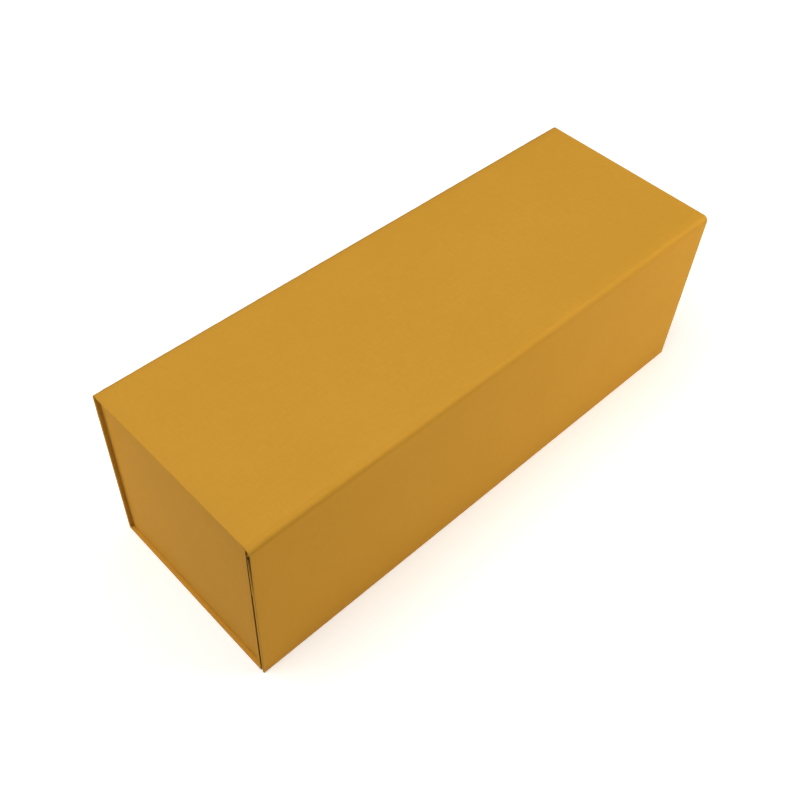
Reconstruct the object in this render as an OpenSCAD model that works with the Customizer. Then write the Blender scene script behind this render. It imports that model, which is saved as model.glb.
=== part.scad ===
// Fold-flat magnetic gift box for one bottle, closed. Millimetres.
// X runs along the length, -Y is the closing flap's side, +Y the spine, +Z up.
// The origin is the middle of the footprint, on the face that the box stands on.

/* [Outside] */
// Length over the case boards
case_len = 340; // [200:1:450]
// Depth from the flap's outer face to the spine's outer face
case_depth = 120; // [80:1:200]
// Height from the base's underside to the lid's top
case_height = 115; // [70:1:200]

/* [Board and paper] */
// Thickness of the greyboard in the case panels
board_t = 1.2; // [0.8:0.1:3]
// Thickness of the greyboard in the end walls
end_board_t = 1.2; // [0.8:0.1:3]
// Thickness of the covering paper
wrap_t = 0.15; // [0.1:0.05:0.3]
// Thickness of the lining paper
liner_t = 0.15; // [0.1:0.05:0.3]
// Width of covering paper turned in past a board's edge
turn_in = 18; // [14:1:30]
// How far the lining stops short of a panel's edges
liner_inset = 3; // [1:0.5:6]

/* [Creases] */
// Distance from the virtual corner to the board edge at the lid and flap crease
flap_crease = 3.5; // [3:0.1:6]
// The same at the spine and lid crease
lid_crease = 2.5; // [2.4:0.1:6]
// Width of the slit where the paper is parted at a crease that turns
crease_slit = 0.2; // [0.1:0.05:0.5]

/* [Fits] */
// How far each end wall stands inside the ends of the case
end_recess = 2; // [0.5:0.1:6]
// Gap between the closed flap and the front wall
flap_gap = 0.85; // [0.3:0.05:2]
// Gap between the lid's lining and the rims of the walls
lid_gap = 0.3; // [0.3:0.1:2]
// Width of the glue tabs that hold the end walls
tab_w = 12; // [8:1:13]

/* [Magnets] */
// Diameter of a magnet
magnet_d = 12; // [6:1:20]
// Clearance round a magnet in its board
magnet_clearance = 0.1; // [0.05:0.05:0.3]
// Distance between the two magnets of a panel
magnet_spacing = 200; // [60:5:300]
// Height of the magnets above the base's underside
magnet_height = 22; // [12:1:50]

/* [Hidden] */
$fn = 64;

gold = [0.80, 0.60, 0.23];
lining = [0.78, 0.59, 0.24];
greyboard = [0.60, 0.57, 0.52];
nickel = [0.78, 0.78, 0.80];

// Thickness of a covered board, without and with its lining
covered_t = wrap_t + board_t + wrap_t;
lined_t = covered_t + liner_t;
end_wall_t = wrap_t + end_board_t + wrap_t;

// Outer faces of the front wall and of the end walls, and the walls' rim
front_y = -case_depth / 2 + lined_t + flap_gap;
end_x = case_len / 2 - end_recess;
inside_x = end_x - end_wall_t;
rim_z = case_height - lined_t - lid_gap;

// Span of the base between its corners, and places of the magnets
base_span = case_depth / 2 - front_y;
magnet_x = magnet_spacing / 2;

// What an edge of a panel is, where it isn't a crease with a leg: free, or grooved and folded to a
// sharp corner, where the layers of both panels meet at 45 degrees
free_edge = 0;
mitred = -1;

diagonal = sqrt(2);
// Length by which a cutting tool runs past the face that it cuts
past = 1;

// Each panel is drawn flat: X along the box, Y across the panel from 0 to its span, and Z out of
// its outer face, which lies at 0. These modules turn that drawing into the panel's place.
module at_lid() translate([0, -case_depth / 2, case_height]) children();
module at_spine() translate([0, case_depth / 2, case_height]) rotate([-90, 0, 0]) children();
module at_base() translate([0, case_depth / 2, 0]) rotate([180, 0, 0]) children();
module at_front() translate([0, front_y, 0]) rotate([90, 0, 0]) children();
module at_flap() translate([0, -case_depth / 2, 0]) rotate([90, 0, 0]) children();

// A block between two corners
module block(low, high) translate(low) cube(high - low);

// Where a layer stops short of a panel's corner at one depth under its face
function stop_short(leg, depth, free) = leg == free_edge ? free : leg == mitred ? depth : leg;

// One layer of a panel between two depths under its face, out to the reach on both sides. free is
// where it stops at a free edge, and extra makes it longer at a crease or a mitred corner.
module layer(span, leg_a, leg_b, low, high, reach, free, extra = 0) {
  more_a = leg_a == free_edge ? 0 : extra;
  more_b = leg_b == free_edge ? 0 : extra;
  translate([-reach, 0, 0])
    rotate([90, 0, 90])
      linear_extrude(2 * reach)
        polygon([
          [stop_short(leg_a, low, free) - more_a, -low],
          [span - stop_short(leg_b, low, free) + more_b, -low],
          [span - stop_short(leg_b, high, free) + more_b, -high],
          [stop_short(leg_a, high, free) - more_a, -high]
        ]);
}

// The greyboard of one panel
module panel_board(span, leg_a, leg_b)
  layer(span, leg_a, leg_b, wrap_t, wrap_t + board_t, case_len / 2 - wrap_t, wrap_t);

// Half of a crease's paper, from the board's edge to the slit in the middle of the chamfer, in
// section. depth is how far the paper's outer side lies under the face. A covering's crease runs on
// over the board by its own thickness, within the panel's paper.
module crease_section(leg, depth, thickness) {
  stop = leg / 2 + crease_slit / 2 / diagonal;
  outer = depth / diagonal;
  inner = (depth + thickness) / diagonal;
  over_board = depth > 0 ? [] : [
    [leg, -thickness],
    [leg + thickness, -thickness],
    [leg + thickness, 0]
  ];
  polygon(concat([
    [leg, -depth * diagonal],
    [stop + outer, stop - leg - outer],
    [stop + inner, stop - leg - inner],
    [leg, -(depth + thickness) * diagonal]
  ], over_board));
}

// That half crease along the box, at the start or the end of a panel
module crease_half(span, leg, depth, thickness, reach, at_end) {
  if (leg > free_edge)
    translate([0, at_end ? span : 0, 0])
      mirror([0, at_end ? 1 : 0, 0])
        translate([-reach, 0, 0])
          rotate([90, 0, 90])
            linear_extrude(2 * reach)
              crease_section(leg, depth, thickness);
}

// The covering paper of one panel: its outer face, the caps round its free edges, the strips
// turned in on its inner face, and its halves of the creases
module panel_wrap(span, leg_a, leg_b) {
  half = case_len / 2;
  difference() {
    layer(span, leg_a, leg_b, 0, covered_t, half, 0);
    layer(span, leg_a, leg_b, wrap_t, covered_t - wrap_t, half - wrap_t, wrap_t, past);
    layer(span, leg_a, leg_b, covered_t - wrap_t, covered_t + past, half - turn_in, turn_in, past);
  }
  crease_half(span, leg_a, 0, wrap_t, half, false);
  crease_half(span, leg_b, 0, wrap_t, half, true);
}

// The lining of one panel, with the strips that run round the board's edges into the creases
module panel_liner(span, leg_a, leg_b, reach) {
  round_a = leg_a > free_edge ? leg_a - liner_t : leg_a;
  round_b = leg_b > free_edge ? leg_b - liner_t : leg_b;
  top = -(wrap_t + liner_t) * diagonal;
  layer(span, round_a, round_b, covered_t, lined_t, reach, liner_inset);
  if (leg_a > free_edge)
    block([-reach, leg_a - liner_t, -lined_t], [reach, leg_a, top]);
  if (leg_b > free_edge)
    block([-reach, span - leg_b, -lined_t], [reach, span - leg_b + liner_t, top]);
  crease_half(span, leg_a, wrap_t, liner_t, reach, false);
  crease_half(span, leg_b, wrap_t, liner_t, reach, true);
}

// Something set in a board at one magnet's place, on a panel that stands on its first edge
module at_magnet(side) translate([side * magnet_x, magnet_height, -wrap_t - board_t]) children();

// One magnet, as thick as the board that it is set in
module magnet(side) at_magnet(side) cylinder(d = magnet_d, h = board_t);

// The holes for a panel's two magnets
module magnet_holes()
  for (side = [-1, 1])
    at_magnet(side)
      translate([0, 0, -past])
        cylinder(d = magnet_d + 2 * magnet_clearance, h = board_t + 2 * past);

// The greyboards of the base, of the spine from the lid's crease down to the base, and of the
// front wall from the base up to its free rim
module base_board() color(greyboard) at_base() panel_board(base_span, mitred, mitred);
module spine_board() color(greyboard) at_spine() panel_board(case_height, lid_crease, mitred);
module front_board() color(greyboard) at_front() difference() {
  panel_board(rim_z, mitred, free_edge);
  magnet_holes();
}

// Their covering paper, in one sheet
module wrap_box() color(gold) {
  at_base() panel_wrap(base_span, mitred, mitred);
  at_spine() panel_wrap(case_height, lid_crease, mitred);
  at_front() panel_wrap(rim_z, mitred, free_edge);
}
module wall_magnet_left() color(nickel) at_front() magnet(-1);
module wall_magnet_right() color(nickel) at_front() magnet(1);

// Their lining, in one sheet
module liner_box() color(lining) {
  at_base() panel_liner(base_span, mitred, mitred, inside_x);
  at_spine() panel_liner(case_height, lid_crease, mitred, inside_x);
  at_front() panel_liner(rim_z, mitred, free_edge, inside_x);
}

// The right end wall is drawn in place, and the left one is its mirror image
module on_side(side) mirror([side < 0 ? 1 : 0, 0, 0]) children();

// Where an end wall meets the covering paper of the spine, the front wall and the base
wall_back = case_depth / 2 - covered_t;
wall_front = front_y + covered_t;
wall_foot = covered_t;

// The greyboard of an end wall
module end_board(side)
  color(greyboard)
    on_side(side)
      block([inside_x + wrap_t, wall_front, wall_foot], [end_x - wrap_t, wall_back, rim_z - wrap_t]);

// The paper of an end wall: over its outer face, its rim and its inner face, with the glue tabs
// that lie on the lining of the front wall, the spine and the floor
module wrap_end(side)
  color(gold)
    on_side(side) {
      block([end_x - wrap_t, wall_front, wall_foot], [end_x, wall_back, rim_z]);
      block([inside_x, wall_front, rim_z - wrap_t], [end_x, wall_back, rim_z]);
      block([inside_x, wall_front, wall_foot], [inside_x + wrap_t, wall_back, rim_z]);
      glue_tabs();
    }

module glue_tabs() {
  start = inside_x - tab_w;
  stop = inside_x + wrap_t;
  low_y = wall_front + liner_t;
  high_y = wall_back - liner_t;
  low_z = wall_foot + liner_t;
  high_z = rim_z - liner_inset;
  block([start, low_y, low_z], [stop, low_y + wrap_t, high_z]);
  block([start, high_y - wrap_t, low_z], [stop, high_y, high_z]);
  block([start, low_y, low_z], [stop, high_y, low_z + wrap_t]);
}

module end_board_left() end_board(-1);
module end_board_right() end_board(1);
module wrap_end_left() wrap_end(-1);
module wrap_end_right() wrap_end(1);

// The lid panel, from the flap's crease back to the spine's
liner_reach = case_len / 2 - liner_inset;
module lid_board() color(greyboard) at_lid() panel_board(case_depth, flap_crease, lid_crease);
module wrap_lid() color(gold) at_lid() panel_wrap(case_depth, flap_crease, lid_crease);
module liner_lid()
  color(lining)
    at_lid() panel_liner(case_depth, flap_crease, lid_crease, liner_reach);

// The closing flap, from its free lower edge up to the lid's crease
module flap_board() color(greyboard) at_flap() difference() {
  panel_board(case_height, free_edge, flap_crease);
  magnet_holes();
}
module wrap_flap() color(gold) at_flap() panel_wrap(case_height, free_edge, flap_crease);
module liner_flap()
  color(lining)
    at_flap() panel_liner(case_height, free_edge, flap_crease, liner_reach);
module flap_magnet_left() color(nickel) at_flap() magnet(-1);
module flap_magnet_right() color(nickel) at_flap() magnet(1);

base_board();
spine_board();
front_board();
end_board_left();
end_board_right();
wrap_box();
wrap_end_left();
wrap_end_right();
liner_box();
wall_magnet_left();
wall_magnet_right();
lid_board();
wrap_lid();
liner_lid();
flap_board();
wrap_flap();
liner_flap();
flap_magnet_left();
flap_magnet_right();
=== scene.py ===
"""Magnetic gift box: covered board panels, paper creases, linings, magnets and a studio stage.

Sizes are in millimetres up to the point where a mesh is made, and X runs along the box, -Y is the
closing flap's side and +Z is up.
"""

import math

import bmesh
import bpy
import numpy as np
from mathutils import Matrix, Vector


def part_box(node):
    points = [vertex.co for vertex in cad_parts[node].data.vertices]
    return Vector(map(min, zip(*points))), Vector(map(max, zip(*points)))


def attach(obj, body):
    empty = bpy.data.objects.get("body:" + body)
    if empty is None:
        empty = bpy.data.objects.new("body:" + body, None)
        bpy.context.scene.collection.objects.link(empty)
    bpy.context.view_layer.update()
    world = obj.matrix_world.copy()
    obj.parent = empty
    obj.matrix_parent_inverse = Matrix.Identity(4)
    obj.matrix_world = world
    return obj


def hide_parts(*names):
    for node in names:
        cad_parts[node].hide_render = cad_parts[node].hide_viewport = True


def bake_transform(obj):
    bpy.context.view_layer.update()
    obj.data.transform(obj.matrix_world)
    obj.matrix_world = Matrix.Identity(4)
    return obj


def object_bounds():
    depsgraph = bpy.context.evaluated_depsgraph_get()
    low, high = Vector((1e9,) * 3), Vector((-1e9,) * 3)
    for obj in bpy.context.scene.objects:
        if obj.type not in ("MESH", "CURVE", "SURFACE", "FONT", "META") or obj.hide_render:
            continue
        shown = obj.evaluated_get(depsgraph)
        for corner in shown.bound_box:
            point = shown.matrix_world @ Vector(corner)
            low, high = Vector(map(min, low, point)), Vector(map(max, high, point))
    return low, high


bl_info = {
    "name": "Magnetic gift box",
    "version": (1, 0, 0),
    "blender": (4, 5, 0),
    "location": "View3D > Sidebar > Gift Box",
    "description": "Covered board panels, paper creases, linings and a studio stage for a gift box",
    "category": "Add Mesh",
}

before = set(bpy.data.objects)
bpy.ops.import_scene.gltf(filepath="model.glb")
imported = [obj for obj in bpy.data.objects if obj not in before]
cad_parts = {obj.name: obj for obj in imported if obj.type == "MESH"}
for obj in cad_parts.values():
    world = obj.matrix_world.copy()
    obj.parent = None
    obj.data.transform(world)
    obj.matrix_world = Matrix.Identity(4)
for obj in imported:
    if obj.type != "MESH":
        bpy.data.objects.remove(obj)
cad_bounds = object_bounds()

MILLIMETRE = 0.001


def node_box(node):
    """A CAD node's lowest and highest corner at rest, in millimetres."""
    low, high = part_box(node)
    return np.array(low) / MILLIMETRE, np.array(high) / MILLIMETRE


class Sizes:
    """The box's own sizes, read from the CAD nodes, in millimetres."""

    low, high = (np.array(corner) / MILLIMETRE for corner in cad_bounds)
    half = high[0]
    front, back, top = low[1], high[1], high[2]
    lid_low, lid_high = node_box("lid_board")
    wall_low, wall_high = node_box("front_board")
    end_low, end_high = node_box("end_board_right")
    lining_low, lining_high = node_box("liner_box")
    lid_lining_low, lid_lining_high = node_box("liner_lid")
    end_wrap_low, end_wrap_high = node_box("wrap_end_right")
    wrap = top - lid_high[2]
    board = lid_high[2] - lid_low[2]
    covered = board + 2 * wrap
    lining = lid_low[2] - wrap - lid_lining_low[2]
    flap_crease = lid_low[1] - front
    spine_crease = back - lid_high[1]
    wall_face = wall_low[1] - wrap
    rim = wall_high[2] + wrap
    end_face = end_high[0] + wrap
    end_inside = end_low[0] - wrap
    lining_inset = half - lid_lining_high[0]


class Fine:
    """Fine measures of the papers, in millimetres."""

    sunk = 0.02
    tuck = 0.6
    panel_bend = 0.7
    least_bend = 0.15
    box_end_radius = 0.2
    creased_outer_edge = 0.05
    creased_inner_edge = 0.25
    crease_edge = 0.02
    crease_room = 0.2
    spine_crossing = (1.6, 1.6)
    flap_crossing = (1.8, 2.4)
    paper_edge = 0.04
    lining_end = 0.05
    lining_bend = 0.6
    wall_edge = 0.3
    tab_overlap = 0.1
    fold_paper = 0.13
    fold_near = 0.42
    fold_hold = 0.05
    fold_crown = 0.35


class PaintedShade:
    """How far the covering is darkened with painted shade: shares from 0 to 1, and lengths in
    millimetres.
    """

    # Painted shade: wall_* darkens the front wall's outer face at its ends, seen through the slit behind
    # the flap; end_*, edge_* and corner_* darken the flap's ends under the crease; bend_*, dip_* and
    # along_* lay a dark line along the flap crease's lower bend.
    wall_share, wall_reach, wall_fade, wall_skin, wall_foot = 0.7, 1.6, 0.6, 0.12, 1
    end_share, end_reach, end_fade, end_height = 0.2, 0.44, 0.2, 32
    edge_share, edge_depth, edge_fade = 0.7, 0.6, 0.2
    corner_share, corner_height, corner_rise = 0.25, 3, 0.5
    bend_least, bend_most, bend_centre, bend_width = 0.3, 1.1, -0.4, 0.45
    dip_depth, dip_length = 0.45, 7
    along_least, along_start, along_length = 0.3, 60, 230
    # The dark colour that the painted shade mixes into the paper.
    tone = (0.03, 0.016, 0.003, 1)


# Settings that a user of the scene would change


class PaperSettings(bpy.types.PropertyGroup):
    """Colours of the papers and boards."""

    wrap_dark: bpy.props.FloatVectorProperty(
        name="Covering, dark", description="Darker tone of the covering paper", subtype="COLOR",
        size=3, min=0, max=1, default=(0.592, 0.299, 0.035))
    wrap_light: bpy.props.FloatVectorProperty(
        name="Covering, light", description="Lighter tone of the covering paper", subtype="COLOR",
        size=3, min=0, max=1, default=(0.612, 0.31, 0.038))
    lining_dark: bpy.props.FloatVectorProperty(
        name="Lining, dark", description="Darker tone of the lining paper", subtype="COLOR",
        size=3, min=0, max=1, default=(0.56, 0.29, 0.034))
    lining_light: bpy.props.FloatVectorProperty(
        name="Lining, light", description="Lighter tone of the lining paper", subtype="COLOR",
        size=3, min=0, max=1, default=(0.61, 0.325, 0.044))
    board_dark: bpy.props.FloatVectorProperty(
        name="Greyboard, dark", description="Darker tone of the greyboard", subtype="COLOR",
        size=3, min=0, max=1, default=(0.21, 0.18, 0.14))
    board_light: bpy.props.FloatVectorProperty(
        name="Greyboard, light", description="Lighter tone of the greyboard", subtype="COLOR",
        size=3, min=0, max=1, default=(0.33, 0.29, 0.24))
    # Painted shade at the creases: a dark line along the flap crease's lower bend, and an even darkening
    # over the spine crease.
    crease_shade: bpy.props.FloatProperty(
        name="Crease shade", description="How much darker the paper is where it is creased",
        default=0.13, min=0, max=0.5, subtype="FACTOR")
    roughness: bpy.props.FloatProperty(
        name="Paper roughness", description="Roughness of the papers", default=0.62, min=0, max=1,
        subtype="FACTOR")


class ShapeSettings(bpy.types.PropertyGroup):
    """Small shapes of the covered panels and the creases, in metres."""

    edge_radius: bpy.props.FloatProperty(
        name="Edge radius", description="Radius of the paper round a board's edge",
        default=0.45 * MILLIMETRE, min=0.0001, max=0.0006, precision=5, unit="LENGTH")
    warp: bpy.props.FloatProperty(
        name="Warp", description="Depth of the slow unevenness of a covered panel",
        default=0.1 * MILLIMETRE, min=0, max=0.00012, precision=5, unit="LENGTH")
    crinkle: bpy.props.FloatProperty(
        name="Crinkle", description="Depth of the small waves along a moving crease",
        default=0.07 * MILLIMETRE, min=0, max=0.0002, precision=5, unit="LENGTH")
    fold_lift: bpy.props.FloatProperty(
        name="Fold lift", description="How far the paper's corner fold stands off the flap's ends",
        default=0.55 * MILLIMETRE, min=0, max=0.001, precision=5, unit="LENGTH")
    fold_length: bpy.props.FloatProperty(
        name="Fold length", description="Height over which that fold stands off",
        default=34 * MILLIMETRE, min=0.005, max=0.08, precision=4, unit="LENGTH")


class StageSettings(bpy.types.PropertyGroup):
    """Lamps and floor."""

    sky: bpy.props.FloatProperty(
        name="Sky", description="Strength of the even light from all round", default=0.0, min=0,
        max=2)
    overhead: bpy.props.FloatProperty(
        name="Overhead lamp", description="Power of the soft lamp above", default=6.3, min=0, max=200,
        unit="POWER")
    upper_left: bpy.props.FloatProperty(
        name="Upper left lamp", description="Power of the soft lamp high on the left", default=17.1,
        min=0, max=400, unit="POWER")
    right: bpy.props.FloatProperty(
        name="Right lamp", description="Power of the soft lamp at the front right", default=8.9, min=0,
        max=200, unit="POWER")
    left: bpy.props.FloatProperty(
        name="Left lamp", description="Power of the soft lamp at the back left", default=0.72, min=0,
        max=200, unit="POWER")
    floor_colour: bpy.props.FloatProperty(
        name="Floor", description="Reflectance of the pale floor", default=0.8, min=0, max=1,
        subtype="FACTOR")
    floor_lift: bpy.props.FloatProperty(
        name="Floor lift", description="Brightness added to the floor where the camera sees it",
        default=0.43, min=0, max=1)


# Surfaces


def loft(loops, stations):
    """A closed shell: one loop of (y, z) points per station of x, joined ring to ring.

    Each loop runs forward along the outer side and back along the inner side, so point j faces
    point n - 1 - j across the thickness, and a ladder between them closes both ends.
    """
    rings, count = loops.shape[:2]
    points = np.empty((rings, count, 3))
    points[..., 0] = np.asarray(stations)[:, None]
    points[..., 1:] = loops
    ring = np.arange(rings - 1)[:, None] * count
    here = np.arange(count)
    after = (here + 1) % count
    sides = np.stack([ring + here, ring + count + here, ring + count + after, ring + after], -1)
    step = np.arange(count // 2 - 1)
    ladder = np.stack([step, step + 1, count - 2 - step, count - 1 - step], -1)
    far = ladder[:, ::-1] + (rings - 1) * count
    return points, np.concatenate([sides.reshape(-1, 4), ladder, far])


def end_stations(low, high, radius, steps, inner):
    """Stations of x with the inset of each: a quarter turn of the radius at both ends.

    At angle a the station lies radius * (1 - cos a) inside the end, and the section is drawn in by
    radius * (1 - sin a). Between the quarter turns the inset is 0.
    """
    turn = np.linspace(0, math.pi / 2, steps)
    depth = radius * (1 - np.cos(turn))
    inset = radius * (1 - np.sin(turn))
    middle = np.linspace(low + radius, high - radius, inner + 2)[1:-1]
    stations = np.concatenate([low + depth, middle, high - depth[::-1]])
    insets = np.concatenate([inset, np.zeros(inner), inset[::-1]])
    return stations, insets


def rounded_path(corners, radii, pieces, arc=6):
    """A polyline in (y, z) with its corners rounded: its points, its normals and its spread.

    A corner of turn a and radius r starts and ends r * tan(a / 2) from the corner, on the circle
    that touches both sides. The normal of a direction (y, z) is (-z, y). The spread is 0 at the
    ends of each leg and on the bends, and 1 in a leg's middle.
    """
    corners = np.asarray(corners, float)
    legs = np.diff(corners, axis=0)
    ways = legs / np.linalg.norm(legs, axis=1)[:, None]
    points, normals, spread = [], [], []
    begin = corners[0]
    for index, way in enumerate(ways):
        normal = np.array([-way[1], way[0]])
        last = index == len(ways) - 1
        finish = corners[-1]
        if not last:
            following = ways[index + 1]
            turn = math.atan2(way[0] * following[1] - way[1] * following[0], way @ following)
            finish = corners[index + 1] - way * radii[index] * math.tan(abs(turn) / 2)
        share = np.linspace(0, 1, pieces[index] + 1)[:, None]
        points.append(begin * (1 - share) + finish * share)
        normals.append(np.repeat(normal[None], len(share), 0))
        spread.append(np.sin(math.pi * share[:, 0]))
        if not last:
            side = math.copysign(1, turn)
            centre = finish + side * normal * radii[index]
            swept = np.linspace(0, turn, arc + 1)[1:, None]
            turned = normal * np.cos(swept) + np.array([-normal[1], normal[0]]) * np.sin(swept)
            bend = centre - side * turned * radii[index]
            begin = bend[-1]
            points.append(bend[:-1])
            normals.append(turned[:-1])
            spread.append(np.zeros(arc - 1))
    return np.concatenate(points), np.concatenate(normals), np.concatenate(spread)


def moved_in(corners, depth):
    """A polyline moved to the inner side by a depth, with mitred corners."""
    corners = np.asarray(corners, float)
    ways = np.diff(corners, axis=0)
    ways /= np.linalg.norm(ways, axis=1)[:, None]
    normals = np.stack([-ways[:, 1], ways[:, 0]], 1)
    before, after = np.vstack([normals[:1], normals]), np.vstack([normals, normals[-1:]])
    lean = (before + after) / (1 + np.sum(before * after, axis=1))[:, None]
    return corners - depth * lean


def sheet(corners, radii, pieces, thickness, x_span, end_radius, edge_radii, along, wave=None,
          arc=5, bend_arc=6):
    """A folded sheet or covered board: its section along the corners, carried along x.

    The outer side runs along the corners with the given bends, and the inner side lies the
    thickness within. edge_radii round the outer start, outer end, inner end and inner start edges
    of the section, and end_radius its ends in x: there the whole section is drawn in by the inset,
    each edge's centre lying max(radius, inset) from both of its sides and its radius being
    max(radius - inset, 0). wave(x, s, spread) moves the sheet along its normal.
    """
    outer, out_ways, spread = rounded_path(corners, radii, pieces, bend_arc)
    tight = [max(radius - thickness, Fine.least_bend) for radius in radii]
    inner, in_ways, _ = rounded_path(moved_in(corners, thickness), tight, pieces, bend_arc)
    stations, insets = end_stations(*x_span, end_radius, 6, along)
    inset = insets[:, None, None]
    outer = outer[None] - out_ways[None] * inset
    inner = inner[None] + in_ways[None] * inset
    if wave is not None:
        share = np.linspace(0, 1, len(spread))[None]
        shift = wave(stations[:, None], share, spread[None])[..., None]
        outer = outer + shift * out_ways[None]
        inner = inner + shift * in_ways[None]
    corners = np.asarray(corners, float)
    start_way = (corners[1] - corners[0]) / np.linalg.norm(corners[1] - corners[0])
    end_way = (corners[-1] - corners[-2]) / np.linalg.norm(corners[-1] - corners[-2])
    quarter = np.linspace(0, math.pi / 2, arc)[None, :, None]

    def edge(corner, to_side, to_depth, radius, first, second):
        """The rounded edge at one corner of the section, turning from the first way to the second."""
        reach = np.maximum(radius, inset)
        left = np.maximum(radius - inset, 0)
        centre = corner + to_side * reach + to_depth * reach
        return centre + left * (first * np.cos(quarter) + second * np.sin(quarter))

    up_start, up_end = out_ways[0], out_ways[-1]
    start_in, end_in = corners[0] - up_start * thickness, corners[-1] - up_end * thickness
    loops = np.concatenate([
        edge(corners[0], start_way, -up_start, edge_radii[0], -start_way, up_start),
        outer[:, 1:-1],
        edge(corners[-1], -end_way, -up_end, edge_radii[1], up_end, end_way),
        edge(end_in, -end_way, up_end, edge_radii[2], end_way, -up_end),
        inner[:, -2:0:-1],
        edge(start_in, start_way, up_start, edge_radii[3], -up_start, -start_way),
    ], 1)
    return loft(loops, stations)


def slow_waves(x, y, seed):
    """Slow unevenness from 0 to 1: a product of a few long sines of x and y."""
    turn = np.random.RandomState(seed).uniform(0, 2 * math.pi, 6)
    total = (
        np.sin(x / 41 + turn[0]) * np.cos(y / 33 + turn[1])
        + 0.6 * np.sin(x / 23 + y / 51 + turn[2])
        + 0.4 * np.cos(y / 17 - x / 67 + turn[3])
    )
    return 0.5 + total / 4


def warp_wave(depth, half, seed):
    """The slow unevenness of covered boards as a wave for sheet, none at edges, bends and ends."""

    def wave(x, s, spread):
        along = np.clip((half - np.abs(x)) / 25, 0, 1)
        window = spread**0.7 * np.sin(along * math.pi / 2)
        return -depth * window * slow_waves(x, s * 300, seed)

    return wave


def mesh_object(name, surfaces, body, material, worn=None):
    """One object from closed surfaces, in metres, on a CAD body.

    The last argument, called with x, y and z in millimetres, gives the attribute of the same name:
    painted shade, how far the paper is darkened, from 0 to 1.
    """
    start, points, faces = 0, [], []
    for surface_points, surface_faces in surfaces:
        flat = surface_points.reshape(-1, 3) * MILLIMETRE
        points.append(flat)
        faces.append(surface_faces + start)
        start += len(flat)
    points, faces = np.concatenate(points), np.concatenate(faces)
    mesh = bpy.data.meshes.new(name)
    mesh.from_pydata(points, [], faces.tolist())
    work = bmesh.new()
    work.from_mesh(mesh)
    bmesh.ops.remove_doubles(work, verts=work.verts, dist=1e-7)
    bmesh.ops.dissolve_degenerate(work, edges=work.edges, dist=1e-8)
    work.to_mesh(mesh)
    work.free()
    mesh.validate()
    mesh.update()
    mesh.polygons.foreach_set("use_smooth", np.full(len(mesh.polygons), True))
    mesh.set_sharp_from_angle(angle=math.radians(40))
    place = np.empty(3 * len(mesh.vertices))
    mesh.vertices.foreach_get("co", place)
    x, y, z = place.reshape(-1, 3).T / MILLIMETRE
    share = np.zeros(len(x)) if worn is None else worn(x, y, z)
    mesh.attributes.new("worn", "FLOAT", "POINT").data.foreach_set("value", np.clip(share, 0, 1))
    obj = bpy.data.objects.new(name, mesh)
    bpy.context.collection.objects.link(obj)
    mesh.materials.append(material)
    if body:
        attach(obj, body)
    return obj


# Materials


def node(tree, kind, settings=None, **inputs):
    """A shader node with its settings and inputs: a value is set, and a socket is linked."""
    made = tree.nodes.new(kind)
    for key, value in (settings or {}).items():
        setattr(made, key, value)
    for key, value in inputs.items():
        socket = made.inputs[int(key[1:])] if key[0] == "i" and key[1:].isdigit() else made.inputs[key]
        if isinstance(value, bpy.types.NodeSocket):
            tree.links.new(value, socket)
        else:
            socket.default_value = value
    return made


def group_sockets(tree, inputs, outputs):
    """Adds named sockets to a node group: (name, kind, default) in, and (name, kind) out."""
    for name, kind, default in inputs:
        socket = tree.interface.new_socket(name, in_out="INPUT", socket_type=kind)
        if default is not None:
            socket.default_value = default
    for name, kind in outputs:
        tree.interface.new_socket(name, in_out="OUTPUT", socket_type=kind)


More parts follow.
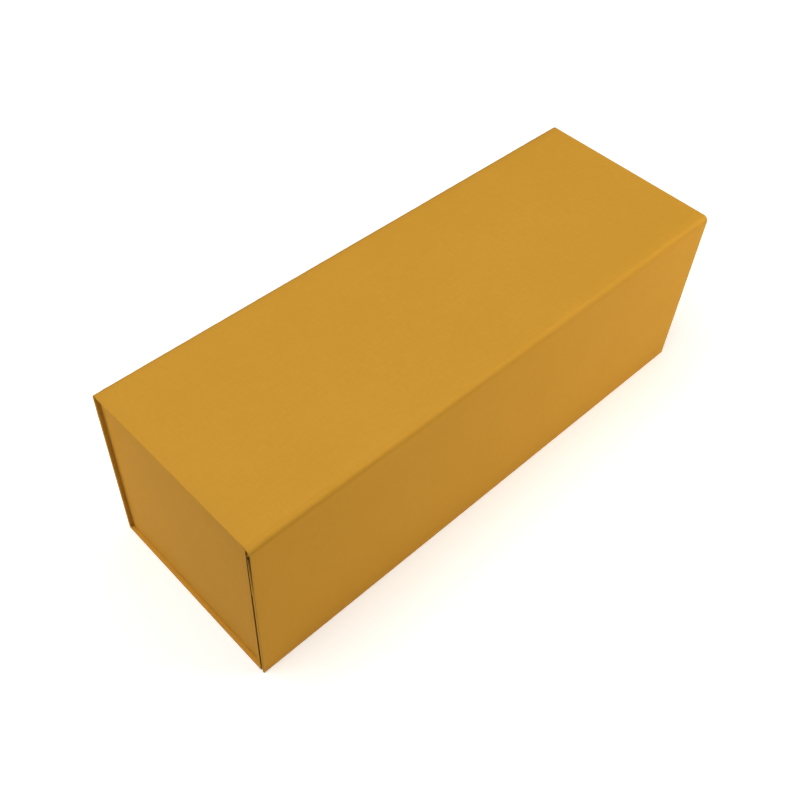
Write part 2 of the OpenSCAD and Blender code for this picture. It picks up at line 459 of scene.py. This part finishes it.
def paper_group():
    """Paper seen close: slow mottling, short fibres along and across, and fine tooth."""
    tree = bpy.data.node_groups.get("Paper surface")
    if tree:
        return tree
    tree = bpy.data.node_groups.new("Paper surface", "ShaderNodeTree")
    group_sockets(
        tree,
        [("Vector", "NodeSocketVector", None), ("Fibre size", "NodeSocketFloat", 900.0),
         ("Mottle size", "NodeSocketFloat", 22.0)],
        [("Tone", "NodeSocketFloat"), ("Height", "NodeSocketFloat"), ("Tooth", "NodeSocketFloat")],
    )
    given = tree.nodes.new("NodeGroupInput").outputs
    out = tree.nodes.new("NodeGroupOutput")
    mottle = node(tree, "ShaderNodeTexNoise", Vector=given["Vector"], Scale=given["Mottle size"],
                  Detail=5.0, Roughness=0.55)
    along = node(tree, "ShaderNodeMapping", Vector=given["Vector"], Scale=(0.18, 1.0, 1.0))
    across = node(tree, "ShaderNodeMapping", Vector=given["Vector"], Scale=(1.0, 0.2, 0.2))
    fibres = node(tree, "ShaderNodeTexNoise", Vector=along.outputs[0], Scale=given["Fibre size"],
                  Detail=3.0, Roughness=0.6)
    crossing = node(tree, "ShaderNodeTexNoise", Vector=across.outputs[0], Scale=given["Fibre size"],
                    Detail=3.0, Roughness=0.6)
    tooth = node(tree, "ShaderNodeTexNoise", Vector=given["Vector"], Scale=2600.0, Detail=2.0)
    web = node(tree, "ShaderNodeMath", {"operation": "MULTIPLY"}, i0=fibres.outputs[0],
               i1=crossing.outputs[0])
    web = node(tree, "ShaderNodeMapRange", Value=web.outputs[0])
    web.inputs["From Min"].default_value = 0.12
    web.inputs["From Max"].default_value = 0.42
    slow = node(tree, "ShaderNodeMath", {"operation": "MULTIPLY"}, i0=mottle.outputs[0], i1=0.65)
    tone = node(tree, "ShaderNodeMath", {"operation": "MULTIPLY_ADD"}, i0=web.outputs[0], i1=0.35,
                i2=slow.outputs[0])
    height = node(tree, "ShaderNodeMath", {"operation": "MULTIPLY_ADD"}, i0=tooth.outputs[0], i1=0.5,
                  i2=web.outputs[0])
    tree.links.new(tone.outputs[0], out.inputs["Tone"])
    tree.links.new(height.outputs[0], out.inputs["Height"])
    tree.links.new(tooth.outputs[0], out.inputs["Tooth"])
    return tree


def new_material(name):
    """An empty node material, its Principled shader and its Object coordinates."""
    material = bpy.data.materials.new(name)
    material.use_nodes = True
    tree = material.node_tree
    shader = tree.nodes["Principled BSDF"]
    where = tree.nodes.new("ShaderNodeTexCoord").outputs["Object"]
    return material, tree, shader, where


def paper_material(name, dark, light, roughness, fibre=900.0, mottle=22.0, bump=0.05, specular=0.04):
    """Uncoated paper or board: two tones mixed by the paper group, darkened by the painted shade
    attribute, with its bump and roughness.
    """
    material, tree, shader, where = new_material(name)
    paper = tree.nodes.new("ShaderNodeGroup")
    paper.node_tree = paper_group()
    tree.links.new(where, paper.inputs["Vector"])
    paper.inputs["Fibre size"].default_value = fibre
    paper.inputs["Mottle size"].default_value = mottle
    tone = node(tree, "ShaderNodeMapRange", {"interpolation_type": "SMOOTHSTEP"},
                Value=paper.outputs["Tone"])
    tone.inputs["From Min"].default_value = 0.3
    tone.inputs["From Max"].default_value = 0.7
    colour = node(tree, "ShaderNodeMix", {"data_type": "RGBA"}, Factor=tone.outputs[0])
    colour.inputs[6].default_value = (*dark, 1)
    colour.inputs[7].default_value = (*light, 1)
    # Painted shade: the attribute darkens the paper's colour towards the dark tone where shade falls.
    worn = node(tree, "ShaderNodeAttribute", {"attribute_name": "worn"})
    shaded = node(tree, "ShaderNodeMix", {"data_type": "RGBA"}, Factor=worn.outputs["Fac"])
    tree.links.new(colour.outputs[2], shaded.inputs[6])
    shaded.inputs[7].default_value = PaintedShade.tone
    tree.links.new(shaded.outputs[2], shader.inputs["Base Color"])
    rough = node(tree, "ShaderNodeMapRange", Value=paper.outputs["Tooth"])
    rough.inputs["To Min"].default_value = roughness - 0.06
    rough.inputs["To Max"].default_value = roughness + 0.06
    tree.links.new(rough.outputs[0], shader.inputs["Roughness"])
    relief = node(tree, "ShaderNodeBump", Height=paper.outputs["Height"])
    relief.inputs["Strength"].default_value = bump
    relief.inputs["Distance"].default_value = 0.0004
    tree.links.new(relief.outputs[0], shader.inputs["Normal"])
    shader.inputs["Specular IOR Level"].default_value = specular
    return material


def magnet_material():
    """Nickel-plated magnet: grey metal with faint tumbling marks."""
    material, tree, shader, where = new_material("nickel plate")
    marks = node(tree, "ShaderNodeTexNoise", Vector=where, Scale=700.0, Detail=4.0)
    rough = node(tree, "ShaderNodeMapRange", Value=marks.outputs[0])
    rough.inputs["To Min"].default_value = 0.22
    rough.inputs["To Max"].default_value = 0.42
    tree.links.new(rough.outputs[0], shader.inputs["Roughness"])
    ramp = node(tree, "ShaderNodeMix", {"data_type": "RGBA"}, Factor=marks.outputs[0])
    ramp.inputs[6].default_value = (0.5, 0.49, 0.47, 1)
    ramp.inputs[7].default_value = (0.66, 0.65, 0.63, 1)
    tree.links.new(ramp.outputs[2], shader.inputs["Base Color"])
    shader.inputs["Metallic"].default_value = 1
    return material


def wrap_material():
    """The covering paper, made once."""
    settings = bpy.context.scene.gift_box_paper
    return bpy.data.materials.get("covering paper") or paper_material(
        "covering paper", settings.wrap_dark, settings.wrap_light, settings.roughness)


def lining_material():
    """The lining paper, made once."""
    settings = bpy.context.scene.gift_box_paper
    return bpy.data.materials.get("lining paper") or paper_material(
        "lining paper", settings.lining_dark, settings.lining_light, settings.roughness + 0.08,
        mottle=30.0, bump=0.07)


def board_material():
    """The greyboard, made once."""
    settings = bpy.context.scene.gift_box_paper
    return bpy.data.materials.get("greyboard") or paper_material(
        "greyboard", settings.board_dark, settings.board_light, 0.85, fibre=420.0, mottle=60.0,
        bump=0.25)


# Panels


def millimetres(value):
    """A length setting in millimetres."""
    return value / MILLIMETRE


def covered_board(corners, pieces, creased, seed, end_radius=None):
    """A covered board along the corners. creased says which of its two edges carry a crease."""
    shape = bpy.context.scene.gift_box_shape
    radius = millimetres(shape.edge_radius)
    outer = [Fine.creased_outer_edge if crossed else radius for crossed in creased]
    inner = [Fine.creased_inner_edge if crossed else radius for crossed in creased]
    along = 70
    return sheet(corners, [Fine.panel_bend] * (len(corners) - 2), pieces, Sizes.covered,
                 (-Sizes.half, Sizes.half), end_radius or radius,
                 (outer[0], outer[1], inner[1], inner[0]), along,
                 warp_wave(millimetres(shape.warp), Sizes.half, seed))


def crease(corner, way_in, way_out, leg, crossing, seed):
    """A turning crease's paper, from one panel's border round to the next.

    The path lies just under both faces: it starts inside the first panel, runs on past its border,
    crosses the corner on a straight slope between two rounded bends and runs into the second
    panel. crossing gives how far the two bends' corners lie from the panels' common corner.
    """
    corner, way_in, way_out = (np.asarray(v, float) for v in (corner, way_in, way_out))
    heart = corner + (way_out - way_in) * Fine.sunk
    first, second = crossing
    corners = [
        heart - way_in * (leg + Fine.tuck),
        heart - way_in * first,
        heart + way_out * second,
        heart + way_out * (leg + Fine.tuck),
    ]
    lean = math.atan2(second, first)
    rest = math.pi / 2 - lean
    rounded = 0.95
    radii = [
        rounded * (leg - first) / math.tan(lean / 2),
        rounded * (leg - second) / math.tan(rest / 2),
    ]
    turn = np.random.RandomState(seed).uniform(0, 2 * math.pi, 8)
    depth = millimetres(bpy.context.scene.gift_box_shape.crinkle)

    def wave(x, s, spread):
        """Small waves along the crease, none at its borders, with puckers near its two ends.

        The ripple sums four sines of x, with wavelengths of 11 to 74 mm, some of them slanted by
        s. The puckers are two short slanted sines that fade away from each end exponentially.
        """
        ripple = (np.sin(x / 2.9 + 2 * s + turn[0]) + 0.8 * np.sin(x / 5.3 - 3 * s + turn[1])
                  + 0.9 * np.sin(x / 11.7 + turn[2]) + 0.6 * np.sin(x / 1.7 + turn[3]))
        near_end = np.exp((np.abs(x) - Sizes.half) / 14)
        pucker = np.sin(x / 0.9 + 5 * s + turn[4]) + 0.8 * np.sin(x / 1.6 - 6 * s + turn[5])
        wander = np.sin(math.pi * s) ** 2
        return -depth * wander * (0.5 + ripple / 4 + near_end * (1.2 + 0.8 * pucker))

    thickness = 2 * Sizes.wrap + Sizes.lining
    along = 340
    return sheet(corners, radii, [2, 6, 2], thickness, (-Sizes.half, Sizes.half),
                 thickness * 0.49, (Fine.crease_edge,) * 4, along, wave, arc=3, bend_arc=9)


class GIFTBOX_OT_box_covering(bpy.types.Operator):
    """Adds the covering paper of the base, the spine and the front wall, folded to sharp corners"""

    bl_idname = "giftbox.box_covering"
    bl_label = "Box covering"

    def execute(self, context):
        """Makes the sheet round three panels and its painted shade."""
        s = Sizes
        corners = [(s.back, s.top - s.spine_crease), (s.back, 0), (s.wall_face, 0), (s.wall_face, s.rim)]
        surface = covered_board(corners, [22, 24, 22], (True, False), 11, Fine.box_end_radius)

        def shade_share(x, y, z):
            """Painted shade on the front wall's outer face, in the last millimetre at both ends,
            darkening the slit seen behind the flap.
            """
            at_end = np.clip((np.abs(x) - s.half + PaintedShade.wall_reach) / PaintedShade.wall_fade, 0, 1)
            outside = (y < s.wall_face + PaintedShade.wall_skin) * (z > PaintedShade.wall_foot)
            return PaintedShade.wall_share * at_end * outside

        obj = mesh_object("box_covering", [surface], "box", wrap_material(), shade_share)
        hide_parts("wrap_box")
        return {"FINISHED"}


class GIFTBOX_OT_lid_covering(bpy.types.Operator):
    """Adds the lid's covering paper"""

    bl_idname = "giftbox.lid_covering"
    bl_label = "Lid covering"

    def execute(self, context):
        """Makes the covered lid panel between its two creases."""
        s = Sizes
        corners = [(s.front + s.flap_crease, s.top), (s.back - s.spine_crease, s.top)]
        surface = covered_board(corners, [24], (True, True), 21)
        obj = mesh_object("lid_covering", [surface], "lid", wrap_material())
        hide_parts("wrap_lid")
        return {"FINISHED"}


def corner_fold(side):
    """The covering's corner fold, standing off one end of the flap just under the crease.

    Across the flap's edge the fold lies at a slant: its front side, towards the flap's outer face,
    stands off furthest, and the back side a tenth as far. Both lifts fade as powers of the height
    left, the back side's sooner, and two small sines of the height make them uneven.
    """
    shape = bpy.context.scene.gift_box_shape
    lift, length = millimetres(shape.fold_lift), millimetres(shape.fold_length)
    top = Sizes.top - Sizes.flap_crease - Fine.crease_room
    rows, columns = 60, 10
    down = np.linspace(0, 1, rows)[:, None]
    across = np.linspace(0, 1, columns)[None]
    back_share, back_rate, fade = 0.1, 1.6, 1.3
    back_side = back_share * lift * np.clip(1 - down * back_rate, 0, 1) ** fade
    front_side = lift * (1 - down) ** fade
    wave = 1 + 0.12 * np.sin(down * 23 + 1.1) + 0.08 * np.sin(down * 51)
    stand = (back_side * (1 - across) ** 1.5 + front_side * across**0.7) * wave
    near, far = Sizes.front + Fine.fold_near, Sizes.front + Sizes.covered - Fine.fold_hold
    y = far + (near - far) * across + 0 * down
    z = top - length * down + Fine.fold_crown * np.sin(across * math.pi) * (1 - down)
    outside = np.stack([Sizes.half - Fine.fold_hold + Fine.fold_paper + stand, y, z], -1)
    inside = np.stack([Sizes.half - 2 * Fine.fold_hold + 0 * stand, y, z], -1)
    loops = np.concatenate([outside, inside[:, ::-1]], 1)
    rings, count = loops.shape[:2]
    _, faces = loft(loops[..., 1:], np.zeros(rings))
    if side < 0:
        loops = loops * np.array([-1, 1, 1])
    else:
        faces = faces[:, ::-1]
    return loops, faces


class GIFTBOX_OT_flap_covering(bpy.types.Operator):
    """Adds the closing flap's covering paper, with the corner folds at its ends"""

    bl_idname = "giftbox.flap_covering"
    bl_label = "Flap covering"

    def execute(self, context):
        """Makes the covered flap panel, its two corner folds and their painted shade."""
        s = Sizes
        corners = [(s.front, 0), (s.front, s.top - s.flap_crease)]
        surfaces = [
            covered_board(corners, [24], (False, True), 31),
            corner_fold(-1),
            corner_fold(1),
        ]

        def shade_share(x, y, z):
            """Painted shade on the ends under the crease, most along their outer edge and at the very
            top.
            """
            down = s.top - s.flap_crease - z
            height = np.clip(1 - down / PaintedShade.end_height, 0, 1) ** 0.6
            at_end = np.clip((np.abs(x) - s.half + PaintedShade.end_reach) / PaintedShade.end_fade, 0, 1)
            outer_edge = np.clip((s.front + PaintedShade.edge_depth - y) / PaintedShade.edge_fade, 0, 1)
            top_corner = np.clip(1 - down / PaintedShade.corner_height, 0, 1)
            share = (PaintedShade.end_share * height + PaintedShade.edge_share * height * outer_edge
                     + PaintedShade.corner_share * top_corner)
            return at_end * share * (down > -PaintedShade.corner_rise)

        obj = mesh_object("flap_covering", surfaces, "flap", wrap_material(), shade_share)
        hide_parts("wrap_flap")
        return {"FINISHED"}


class GIFTBOX_OT_hinge_creases(bpy.types.Operator):
    """Adds the two paper creases that turn: spine to lid, and lid to flap"""

    bl_idname = "giftbox.hinge_creases"
    bl_label = "Hinge creases"

    def execute(self, context):
        """Makes both creases."""
        s = Sizes
        shade_strength = context.scene.gift_box_paper.crease_shade

        def spine_shade(x, y, z):
            """Even painted shade over the crease at the top of the spine."""
            return shade_strength + 0 * x

        def flap_bend_shade(x, y, z):
            """Painted shade along the crease's lower bend, stronger to one end and dipping at both
            corners.

            round_bend runs from -1 at the flap's border to 1 at the lid's. Round its centre the shade
            falls off as exp(-d * d), d being the distance in units of the shade's width.
            """
            to_one_end = np.clip((PaintedShade.along_start - x) / PaintedShade.along_length, 0, 1)
            along = PaintedShade.along_least + (1 - PaintedShade.along_least) * to_one_end
            round_bend = (y - s.front - (s.top - z)) / s.flap_crease
            dip = PaintedShade.dip_depth * np.exp((np.abs(x) - s.half) / PaintedShade.dip_length)
            off_centre = (round_bend - PaintedShade.bend_centre + dip) / PaintedShade.bend_width
            return shade_strength * along * (PaintedShade.bend_least + PaintedShade.bend_most * np.exp(-(off_centre**2)))

        spine = crease((s.back, s.top), (1, 0), (0, -1), s.spine_crease, Fine.spine_crossing, 41)
        obj = mesh_object("spine_crease", [spine], None, wrap_material(), spine_shade)
        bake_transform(obj)
        flap = crease((s.front, s.top), (0, 1), (1, 0), s.flap_crease, Fine.flap_crossing, 42)
        obj = mesh_object("flap_crease", [flap], None, wrap_material(), flap_bend_shade)
        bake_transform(obj)
        return {"FINISHED"}


def stood_up(surface, side):
    """A sheet drawn with its length along x and its face towards +z, stood on one end of the box.

    Its length turns up to +Z, its face turns to the outside of that end, and its y stays.
    """
    points, faces = surface
    length, across, face = points[..., 0], points[..., 1], points[..., 2]
    stood = np.stack([side * face, across, length], -1)
    return stood, faces[:, ::-1] if side > 0 else faces


class GIFTBOX_OT_end_walls(bpy.types.Operator):
    """Adds the covering paper of the two end walls, with their glue tabs"""

    bl_idname = "giftbox.end_walls"
    bl_label = "End walls"

    def execute(self, context):
        """Makes each end wall with the tabs at its sides and foot."""
        s = Sizes
        radius = millimetres(context.scene.gift_box_shape.edge_radius)
        low, high = s.end_wrap_low, s.end_wrap_high
        thickness = s.end_face - s.end_inside
        for side, name in ((-1, "left"), (1, "right")):
            wall = sheet([(low[1], s.end_face), (high[1], s.end_face)], [], [20], thickness,
                         (low[2], s.rim), radius, (Fine.wall_edge,) * 4, 24)
            surfaces = [stood_up(wall, side)]
            tab = s.lining
            start, stop = low[0], s.end_inside + Fine.tab_overlap
            foot = low[2] + tab
            spans = [
                ((low[1] + tab, low[1] + 2 * tab), (foot, s.rim - s.lining_inset)),
                ((high[1] - 2 * tab, high[1] - tab), (foot, s.rim - s.lining_inset)),
                ((low[1] + tab, high[1] - tab), (foot, foot + tab)),
            ]
            for (y_low, y_high), (z_low, z_high) in spans:
                x_span = (start, stop) if side > 0 else (-stop, -start)
                surfaces.append(sheet([(y_low, z_high), (y_high, z_high)], [], [2], z_high - z_low,
                                      x_span, Fine.paper_edge, (Fine.paper_edge,) * 4, 2))
            obj = mesh_object(f"end_wall_covering_{name}", surfaces, "box",
                              wrap_material())
            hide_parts(f"wrap_end_{name}")
        return {"FINISHED"}


class GIFTBOX_OT_linings(bpy.types.Operator):
    """Adds the lining papers of the box, the lid and the flap"""

    bl_idname = "giftbox.linings"
    bl_label = "Linings"

    def execute(self, context):
        """Makes the three linings, each a little inside its panel."""
        s = Sizes
        inner_wall, inner_back = s.wall_face + s.covered, s.back - s.covered
        corners = [
            (inner_back, s.top - s.spine_crease),
            (inner_back, s.covered),
            (inner_wall, s.covered),
            (inner_wall, s.rim - s.lining_inset),
        ]
        thin = (Fine.paper_edge,) * 4
        along = 40
        lining = sheet(corners, [Fine.lining_bend] * 2, [16, 16, 16], s.lining,
                       (s.lining_low[0], s.lining_high[0]), Fine.lining_end, thin, along)
        obj = mesh_object("box_lining", [lining], "box", lining_material())
        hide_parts("liner_box")
        reach = s.lid_lining_high[0]
        thickness = s.lining + Fine.sunk
        level = s.top - s.covered + Fine.sunk
        corners = [(s.front + s.flap_crease + Fine.crease_room, level),
                   (s.back - s.spine_crease - Fine.crease_room, level)]
        lid = sheet(corners, [], [16], thickness, (-reach, reach), Fine.lining_end, thin, along)
        obj = mesh_object("lid_lining", [lid], "lid", lining_material())
        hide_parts("liner_lid")
        level = s.front + s.covered - Fine.sunk
        corners = [(level, s.lining_inset), (level, s.top - s.flap_crease - Fine.crease_room)]
        flap = sheet(corners, [], [16], thickness, (-reach, reach), Fine.lining_end, thin, along)
        obj = mesh_object("flap_lining", [flap], "flap", lining_material())
        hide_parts("liner_flap")
        return {"FINISHED"}


class GIFTBOX_OT_boards_and_magnets(bpy.types.Operator):
    """Gives the greyboards and the magnets inside the panels their materials"""

    bl_idname = "giftbox.boards_and_magnets"
    bl_label = "Boards and magnets"

    def execute(self, context):
        """Sets the materials of the CAD nodes that stay in view."""
        metal = magnet_material()
        for name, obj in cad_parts.items():
            material = board_material() if "board" in name else metal if "magnet" in name else None
            if material:
                obj.data.materials.clear()
                obj.data.materials.append(material)
        return {"FINISHED"}


# Stage

# Each lamp's name, the setting of its power, its place, its aim and its size in metres, its colour
LAMPS = (
    ("overhead lamp", "overhead", (0.15, 0.1, 1.3), (0, 0, 0.06), 1.1, (1, 1, 1)),
    ("upper left lamp", "upper_left", (-0.7, 0.2, 1.6), (0, 0, 0.03), 1.2, (1, 1, 1)),
    ("right lamp", "right", (0.75, -0.8, 0.4), (0.1, -0.06, 0.06), 0.6, (1.0, 0.92, 0.66)),
    ("left lamp", "left", (-0.4, 0.32, 0.05), (-0.17, 0.06, 0.05), 0.2, (1.0, 0.84, 0.36)),
)


def soft_lamp(name, place_at, aim_at, size, power, colour):
    """A square soft lamp at a place, aimed at a point, all in metres."""
    data = bpy.data.lights.new(name, "AREA")
    data.color = colour
    data.shape = "SQUARE"
    data.size = size
    data.energy = power
    lamp = bpy.data.objects.new(name, data)
    bpy.context.collection.objects.link(lamp)
    lamp.location = place_at
    lamp.visible_camera = False
    back = np.array(place_at, float) - np.array(aim_at, float)
    back /= np.linalg.norm(back)
    right = np.cross((0, 0, 1) if abs(back[2]) < 0.99 else (0, 1, 0), back)
    right /= np.linalg.norm(right)
    up = np.cross(back, right)
    lamp.rotation_euler = matrix_of(right, up, back).to_euler()
    return lamp


def matrix_of(right, up, back):
    """The turn whose local X, Y and Z lie along the three directions."""
    return Matrix(np.stack([right, up, back], 1).tolist())


class GIFTBOX_OT_stage(bpy.types.Operator):
    """Adds the pale floor, the soft lamps, the even sky and the photograph's camera"""

    bl_idname = "giftbox.stage"
    bl_label = "Stage"

    def execute(self, context):
        """Makes the floor, the sky, the lamps and the camera."""
        settings = context.scene.gift_box_stage
        self.floor(settings)
        self.sky(settings)
        for name, setting, place_at, aim_at, size, colour in LAMPS:
            soft_lamp(name, place_at, aim_at, size, getattr(settings, setting), colour)
        self.camera(context)
        return {"FINISHED"}

    def floor(self, settings):
        """A wide plain floor that shows the shadow near the box and turns white away from it."""
        half, level = 4.0, -0.0001
        shadow_reach, white_from = 0.45, 1.5
        points = [(-half, -half, level), (half, -half, level), (half, half, level),
                  (-half, half, level)]
        mesh = bpy.data.meshes.new("floor")
        mesh.from_pydata(points, [], [(0, 1, 2, 3)])
        floor = bpy.data.objects.new("floor", mesh)
        bpy.context.collection.objects.link(floor)
        material, tree, shader, where = new_material("floor")
        grey = settings.floor_colour
        shader.inputs["Base Color"].default_value = (grey, grey, grey, 1)
        shader.inputs["Roughness"].default_value = 0.9
        shader.inputs["Specular IOR Level"].default_value = 0.1
        path = tree.nodes.new("ShaderNodeLightPath")
        seen = node(tree, "ShaderNodeMath", {"operation": "MAXIMUM"},
                    i0=path.outputs["Is Camera Ray"], i1=path.outputs["Is Glossy Ray"])
        away = node(tree, "ShaderNodeVectorMath", {"operation": "LENGTH"}, i0=where)
        lifted = node(tree, "ShaderNodeMapRange", {"interpolation_type": "SMOOTHSTEP"},
                      Value=away.outputs["Value"])
        for name, value in (("From Min", shadow_reach), ("From Max", white_from),
                            ("To Min", settings.floor_lift), ("To Max", 1.0)):
            lifted.inputs[name].default_value = value
        glow = node(tree, "ShaderNodeEmission", Color=(1, 1, 1, 1), Strength=lifted.outputs[0])
        dark = node(tree, "ShaderNodeEmission", Color=(0, 0, 0, 1), Strength=0.0)
        lift = node(tree, "ShaderNodeMixShader", Fac=seen.outputs[0], i1=dark.outputs[0],
                    i2=glow.outputs[0])
        both = node(tree, "ShaderNodeAddShader", i0=shader.outputs[0], i1=lift.outputs[0])
        tree.links.new(both.outputs[0], tree.nodes["Material Output"].inputs["Surface"])
        mesh.materials.append(material)

    def sky(self, settings):
        """An even sky, white where the camera sees it."""
        world = bpy.data.worlds.new("studio")
        bpy.context.scene.world = world
        world.use_nodes = True
        tree = world.node_tree
        tree.nodes.clear()
        path = tree.nodes.new("ShaderNodeLightPath")
        soft = node(tree, "ShaderNodeBackground", Color=(1, 1, 1, 1), Strength=settings.sky)
        white = node(tree, "ShaderNodeBackground", Color=(1, 1, 1, 1), Strength=1.0)
        mix = node(tree, "ShaderNodeMixShader", Fac=path.outputs["Is Camera Ray"], i1=soft.outputs[0],
                   i2=white.outputs[0])
        out = tree.nodes.new("ShaderNodeOutputWorld")
        tree.links.new(mix.outputs[0], out.inputs["Surface"])

    def camera(self, context):
        """The photograph's camera, from a fit to the box's outline in it."""
        data = bpy.data.cameras.new("photo camera")
        data.sensor_width = 36.0
        data.lens = 45.404
        camera = bpy.data.objects.new("photo camera", data)
        context.collection.objects.link(camera)
        camera.location = (-0.294299, -0.259176, 0.484612)
        right = np.array([0.720488, -0.692104, 0.043456])
        down = np.array([-0.505222, -0.566802, -0.650758])
        ahead = np.array([0.475023, 0.446909, -0.758041])
        camera.rotation_euler = matrix_of(right, -down, -ahead).to_euler()
        context.scene.camera = camera
        context.scene.view_settings.view_transform = "Standard"


# Add-on


class GIFTBOX_PT_panel(bpy.types.Panel):
    """Lists the steps and their settings in the sidebar"""

    bl_label = "Gift Box"
    bl_idname = "GIFTBOX_PT_panel"
    bl_space_type = "VIEW_3D"
    bl_region_type = "UI"
    bl_category = "Gift Box"

    def draw(self, context):
        """Draws every setting and then a button for each step."""
        for settings in SETTINGS:
            held = getattr(context.scene, settings)
            for name in held.__annotations__:
                self.layout.prop(held, name)
        for operator in STEPS:
            self.layout.operator(operator.bl_idname)


SETTINGS = {
    "gift_box_paper": PaperSettings,
    "gift_box_shape": ShapeSettings,
    "gift_box_stage": StageSettings,
}
STEPS = (
    GIFTBOX_OT_stage,
    GIFTBOX_OT_box_covering,
    GIFTBOX_OT_lid_covering,
    GIFTBOX_OT_flap_covering,
    GIFTBOX_OT_hinge_creases,
    GIFTBOX_OT_end_walls,
    GIFTBOX_OT_linings,
    GIFTBOX_OT_boards_and_magnets,
)


def register():
    """Registers the settings, the steps and the panel."""
    for name, settings in SETTINGS.items():
        bpy.utils.register_class(settings)
        setattr(bpy.types.Scene, name, bpy.props.PointerProperty(type=settings))
    for operator in STEPS:
        bpy.utils.register_class(operator)
    bpy.utils.register_class(GIFTBOX_PT_panel)


def unregister():
    """Removes what register added."""
    bpy.utils.unregister_class(GIFTBOX_PT_panel)
    for operator in reversed(STEPS):
        bpy.utils.unregister_class(operator)
    for name, settings in SETTINGS.items():
        delattr(bpy.types.Scene, name)
        bpy.utils.unregister_class(settings)


def main():
    register()
    bpy.ops.giftbox.stage()
    bpy.ops.giftbox.box_covering()
    bpy.ops.giftbox.lid_covering()
    bpy.ops.giftbox.flap_covering()
    bpy.ops.giftbox.hinge_creases()
    bpy.ops.giftbox.end_walls()
    bpy.ops.giftbox.linings()
    bpy.ops.giftbox.boards_and_magnets()


if __name__ == "__main__":
    main()
